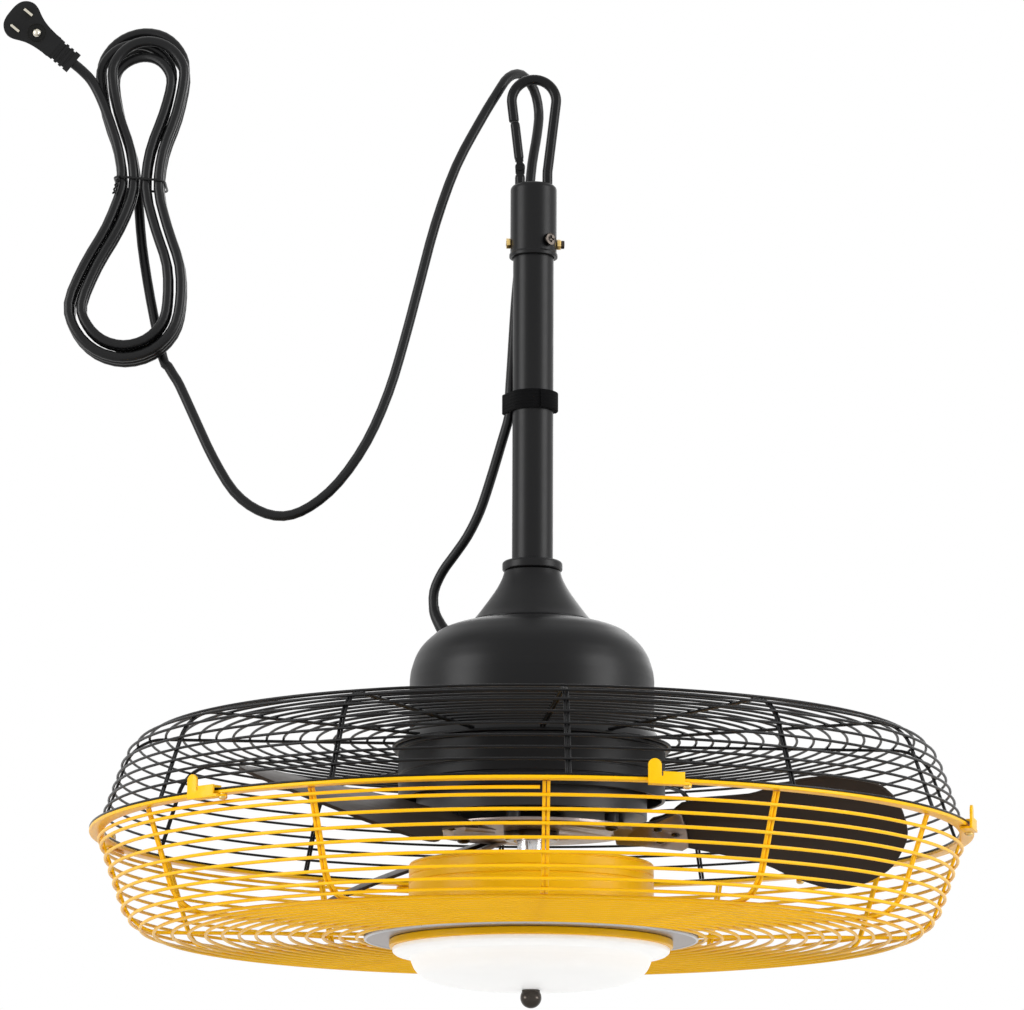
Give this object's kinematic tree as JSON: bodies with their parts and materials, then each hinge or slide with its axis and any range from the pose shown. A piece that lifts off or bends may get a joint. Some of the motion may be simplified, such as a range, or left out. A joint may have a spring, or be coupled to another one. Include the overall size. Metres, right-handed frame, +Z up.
{
  "type": "caged outdoor ceiling fan with light",
  "caption": "Hanging caged fan with three pitched blades, a round light under the hub, a downrod with a snap hook, and a mains cord with plug.",
  "frame": {"origin": "The hang point: the inside top of the snap hook's bow, on the fan's axis.", "axes": "+Z is up along the fan's axis, +X is to the right in the picture, and +Y points away from its camera."},
  "size_m": [0.5934, 0.53, 0.6194],
  "materials": {
    "black_coat": "matte black powder coat",
    "black_wire": "satin black coated wire",
    "steel": "plain steel",
    "chrome_tube": "bright chrome",
    "dark_screw": "blackened screw",
    "zinc_nut": "yellow zinc plating",
    "strap_fabric": "woven hook-and-loop tape",
    "circuit_board": "solder mask",
    "lamination": "stacked steel sheet",
    "winding": "enamelled copper wire",
    "rotor_black": "black coated steel",
    "magnet": "bare magnet",
    "bronze_metal": "satin bronze brown",
    "blade_plastic": "matte dark brown",
    "yellow_coat": "glossy yellow enamel",
    "grey_plate": "satin grey bronze",
    "white_board": "white board",
    "white_diffuser": "opal white, lit from inside",
    "cord_rubber": "black flexible sheath",
    "prong_metal": "nickel plated brass"
  },
  "bodies": {
    "hanging_frame": {"snap_hook": "black_wire", "gate_pin": "steel", "hanger_coupling": "black_coat", "hanger_pin": "steel", "coupling_screws": "dark_screw", "coupling_nuts": "zinc_nut", "downrod": "black_coat", "cord_strap": "strap_fabric", "rod_collar": "black_coat", "bell_canopy": "black_coat", "motor_dome": "black_coat", "motor_shroud": "black_coat", "control_board": "circuit_board", "stator_core": "lamination", "stator_windings": "winding", "hollow_shaft": "chrome_tube", "upper_bearing": "steel", "lower_bearing": "steel", "upper_grille_plate": "black_coat", "upper_ribs": "black_coat", "upper_flat_hoops": "black_coat", "upper_wall_hoops": "black_coat", "upper_rim": "black_coat", "lower_rim": "yellow_coat", "lower_wall_hoops": "yellow_coat", "lower_flat_hoops": "yellow_coat", "lower_ribs": "yellow_coat", "lower_grille_plate": "grey_plate", "latch_rivets": "zinc_nut", "shaft_nuts": "zinc_nut", "light_drum": "yellow_coat", "light_trim": "yellow_coat", "led_board": "white_board", "diffuser": "white_diffuser", "finial": "bronze_metal", "cord_gland": "black_coat", "cord_lead": "cord_rubber", "cord_hank": "cord_rubber", "cord_tail": "cord_rubber", "twist_tie": "cord_rubber", "plug_body": "cord_rubber", "plug_prongs": "prong_metal"},
    "rotor": {"rotor_shell": "rotor_black", "rotor_cover": "rotor_black", "magnets": "magnet", "hub_plate": "bronze_metal", "hub_cap": "bronze_metal", "blade_1": "blade_plastic", "blade_2": "blade_plastic", "blade_3": "blade_plastic", "blade_screws": "bronze_metal"},
    "gate": {"hook_gate": "black_wire"},
    "clip_1": {"latch_1": "yellow_coat"},
    "clip_2": {"latch_2": "yellow_coat"},
    "clip_3": {"latch_3": "yellow_coat"},
    "clip_4": {"latch_4": "yellow_coat"},
    "clip_5": {"latch_5": "yellow_coat"},
    "clip_6": {"latch_6": "yellow_coat"}
  },
  "joints": [
    {"name": "rotor_spin", "type": "hinge", "parent": "hanging_frame", "child": "rotor", "pos_m": [0, 0, -0.44], "axis": [0, 0, 1], "continuous": true},
    {"name": "hook_gate", "type": "hinge", "parent": "hanging_frame", "child": "gate", "pos_m": [-0.00845, 0, -0.053], "axis": [0, 1, 0], "range_deg": [0, 22], "stiffness_Nm_per_rad": 0.012, "springref_deg": -20.05},
    {"name": "clip_1_turn", "type": "hinge", "parent": "hanging_frame", "child": "clip_1", "pos_m": [0.08547, -0.24878, -0.4717], "axis": [0, 0, 1], "range_deg": [0, 75]},
    {"name": "clip_2_turn", "type": "hinge", "parent": "hanging_frame", "child": "clip_2", "pos_m": [0.25819, -0.05037, -0.4717], "axis": [0, 0, 1], "range_deg": [0, 75]},
    {"name": "clip_3_turn", "type": "hinge", "parent": "hanging_frame", "child": "clip_3", "pos_m": [0.17272, 0.19841, -0.4717], "axis": [0, 0, 1], "range_deg": [0, 75]},
    {"name": "clip_4_turn", "type": "hinge", "parent": "hanging_frame", "child": "clip_4", "pos_m": [-0.08547, 0.24878, -0.4717], "axis": [0, 0, 1], "range_deg": [0, 75]},
    {"name": "clip_5_turn", "type": "hinge", "parent": "hanging_frame", "child": "clip_5", "pos_m": [-0.25819, 0.05037, -0.4717], "axis": [0, 0, 1], "range_deg": [0, 75]},
    {"name": "clip_6_turn", "type": "hinge", "parent": "hanging_frame", "child": "clip_6", "pos_m": [-0.17272, -0.19841, -0.4717], "axis": [0, 0, 1], "range_deg": [0, 75]}
  ]
}
